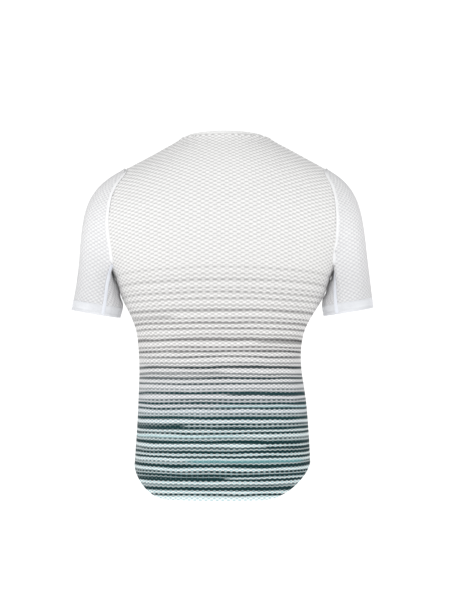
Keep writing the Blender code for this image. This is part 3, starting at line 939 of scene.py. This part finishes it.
seams = {"body": [], "left": [], "right": []}
for name, (side, form, outline, sleeve, cuff) in arms.items():
    edges = ((back_outline.low, front_outline.high) if side > 0 else
             (back_outline.high, front_outline.low))
    up, down = (edge[(edge[:, 1] > ARMPIT) & (edge[:, 1] < SHOULDER_END)] for edge in edges)
    line, outward = on_edge(body_form, np.concatenate((up, down[::-1])))
    # The seam lies half on the body and half on the sleeve, whose edge near the armhole it follows.
    sleeve_edge = np.concatenate((outline.low, outline.high, outline.top))
    beyond, beyond_out = on_edge(form, sleeve_edge[sleeve_edge[:, 1] > 0.055])
    nearest = np.argmin(np.linalg.norm(line[:, None] - beyond[None], axis=2), axis=1)
    line, outward = (line + beyond[nearest]) / 2, outward + beyond_out[nearest]
    line, outward = (np.concatenate((values, values[:1])) for values in (line, outward))
    piece = seam("armhole_seam_" + name, softened(line, True, 4), softened(outward, True, 6),
                 ARMHOLE_WIDTH, seam_thread, True)
    seams[name].append(piece)

    top = np.interp(UNDERARM[name] - 4, outline.top[:, 0], outline.top[:, 1])
    edge = upright(UNDERARM[name], np.arange(-CUFF_HEIGHT + 0.0002, top - 0.002, 0.003))
    piece = seam("underarm_seam_" + name, *on_edge(form, edge), UNDERARM_WIDTH, cool_thread)
    seams[name].append(piece)

    turn = 0 if side > 0 else 180
    hem_end = back_outline.tail[0 if side > 0 else -1, 1]
    heights = np.arange(hem_end + 0.002, ARMPIT - 0.002, 0.004)
    flat = [np.stack(back_cloth.flat(*upright(turn + d, heights).T), -1) for d in (-1, 1)]
    piece = seam("side_seam_" + name, *on_edge(body_form, upright(turn, heights)), SIDE_WIDTH,
                 mesh_knit, flat=flat)
    seams["body"].append(piece)

    edge = upright(turn, np.arange(SHOULDER_END - 0.002, NECK_END, 0.002))
    piece = seam("shoulder_seam_" + name, *on_edge(body_form, edge), SHOULDER_WIDTH, seam_thread)
    seams["body"].append(piece)

# ---------------------------------------------------------------- hems
# The lower edges of the back and the front are turned in narrowly and stitched down, in the
# striped knit itself.

HEM_WIDTH = 0.006
HEM_SECTION = ((0.0, -0.0009), (0.0, -0.0001), (0.1, 0.0004), (0.8, 0.0004), (1.0, 0.0), (1.0, -0.0016),
               (0.5, -0.0019), (0.1, -0.0017))
for name, cloth, outline in (("back", back_cloth, back_outline), ("front", front_cloth, front_outline)):
    tail = outline.tail
    low, outward = on_edge(body_form, tail)
    high = on_form(body_form, tail[:, 0], tail[:, 1] + HEM_WIDTH, 0)
    flat = [np.stack(cloth.flat(tail[:, 0], tail[:, 1] + rise), -1) for rise in (0, HEM_WIDTH)]
    hem = band("hem_" + name, low, high, outward, HEM_SECTION, mesh_knit, False, flat)
    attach(hem, "root")

# Each piece was cut flat, a little smaller than it is worn, and is stretched on the wearer. The loop
# below only turns each sleeve's seams into a list, which is not kept.
for name, (side, form, outline, sleeve, cuff) in arms.items():
    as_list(seams[name])

# ---------------------------------------------------------------- stage
# A plain pale floor well below the top, soft light from all round, and three soft lamps: two
# behind the top and one before it.

FLOOR_RADIUS, FLOOR_HEIGHT = 1.9, -1.25
floor_shape = bmesh.new()
bmesh.ops.create_circle(floor_shape, cap_ends=True, segments=96, radius=FLOOR_RADIUS)
bmesh.ops.translate(floor_shape, verts=floor_shape.verts, vec=(0, 0, FLOOR_HEIGHT))
pale_floor, floor_finish = new_finish("pale_floor", 0.9, 0.0)
for socket, value in (("Base Color", (0.90, 0.90, 0.90, 1)), ("Emission Color", (1, 1, 1, 1)),
                      ("Emission Strength", 0.30)):
    floor_finish.surface.inputs[socket].default_value = value
floor = new_piece("floor", floor_shape, pale_floor)
floor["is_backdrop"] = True

# The light is white all round and dimmer overhead.
world = bpy.data.worlds.new("studio")
bpy.context.scene.world = world
world.use_nodes = True
sky = Finish(world.node_tree)
background = world.node_tree.nodes["Background"].inputs
height = sky.apart(sky.add("TexCoord").outputs["Generated"])[2]
sky.join(sky.ramp(((0.2, 1.0), (0.5, 0.58), (1.0, 0.48)), height), background["Color"])
background["Strength"].default_value = 1.15

AIM = Vector((0, 0, -0.25))


def lamp(name, place, size, power):
    light = bpy.data.lights.new(name, "AREA")
    light.size, light.energy = size, power
    thing = bpy.data.objects.new(name, light)
    thing.location = place
    thing.rotation_euler = (AIM - Vector(place)).to_track_quat("-Z", "Y").to_euler()
    bpy.context.scene.collection.objects.link(thing)


lamp("key_lamp", (1.4, 3.0, 0.5), 1.6, 15)
lamp("fill_lamp", (0.1, 3.2, -0.5), 0.7, 7)
lamp("front_lamp", (-1.4, -3.0, 0.5), 1.6, 20)

CAMERA_DISTANCE, SEEN_HEIGHT, SENSOR = 3.0, 1.110, 36
camera = bpy.data.objects.new("camera", bpy.data.cameras.new("camera"))
camera.data.sensor_fit = "AUTO"
camera.data.sensor_width = SENSOR
camera.data.lens = SENSOR * CAMERA_DISTANCE / SEEN_HEIGHT
camera.location = (-0.0074, CAMERA_DISTANCE, -0.303)
camera.rotation_euler = (math.radians(90), 0, math.radians(180))
bpy.context.scene.collection.objects.link(camera)
bpy.context.scene.camera = camera
bpy.context.scene.view_settings.view_transform = "Standard"

str([[list(corner) for corner in box] for box in (cad_box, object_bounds())])
